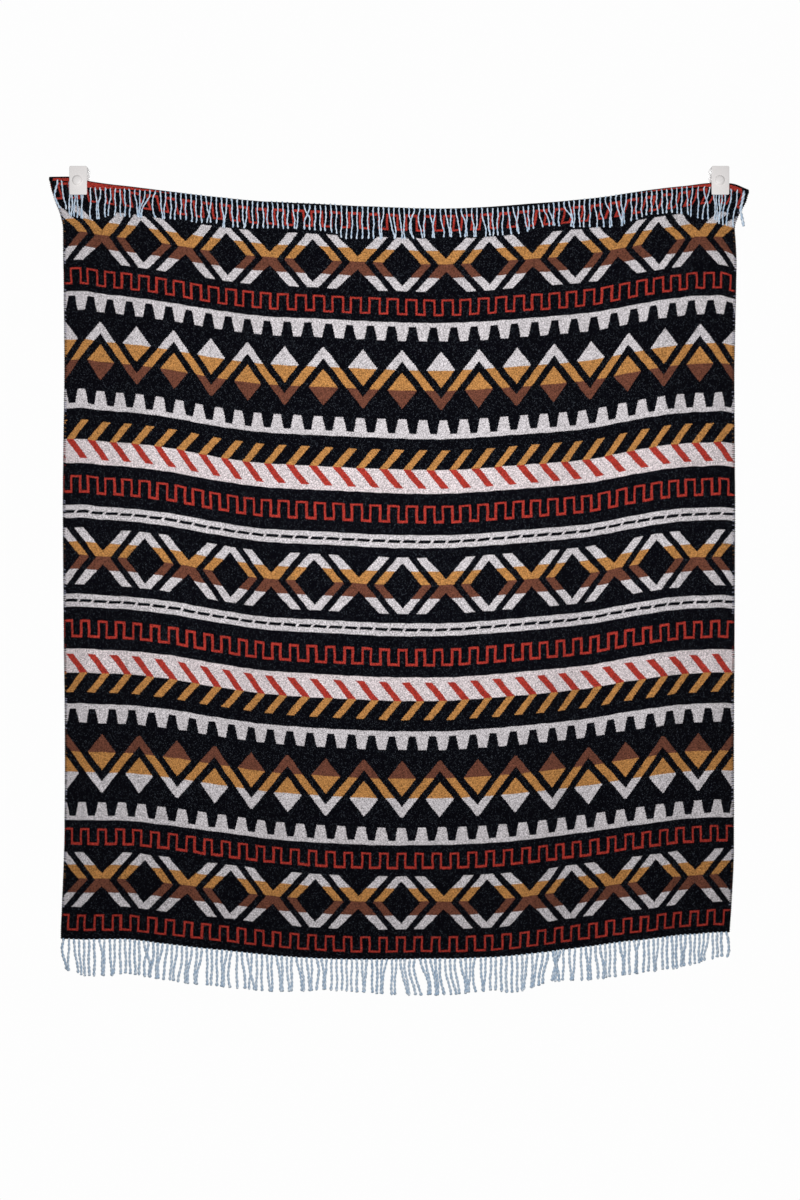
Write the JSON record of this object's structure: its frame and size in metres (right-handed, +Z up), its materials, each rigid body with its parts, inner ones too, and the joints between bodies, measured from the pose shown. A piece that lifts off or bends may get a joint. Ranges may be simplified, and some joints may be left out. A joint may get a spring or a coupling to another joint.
{
  "type": "throw blanket with two wall clips",
  "caption": "Fringed wool throw blanket with a woven banded pattern, hanging by its top corners from plain plastic wall clips.",
  "frame": {"origin": "centre of the left clip's back face, on the wall that the clips are fixed to", "axes": "+Z up, +X to the right as the front is seen, +Y into the wall, so the front of the blanket faces -Y"},
  "size_m": [1.2701, 0.0396, 1.5101],
  "materials": {
    "wool_cloth": "matte fuzzy double weave in black, white, gold, brown and red",
    "fringe_yarn": "matte twisted pale blue yarn with white and dark flecks",
    "clip_plastic": "satin moulded plastic, pale grey-white"
  },
  "bodies": {
    "root": {"blanket_cloth": "wool_cloth", "fringe_top": "fringe_yarn", "fringe_bottom": "fringe_yarn", "clip_left": "clip_plastic", "clip_right": "clip_plastic"}
  },
  "joints": []
}
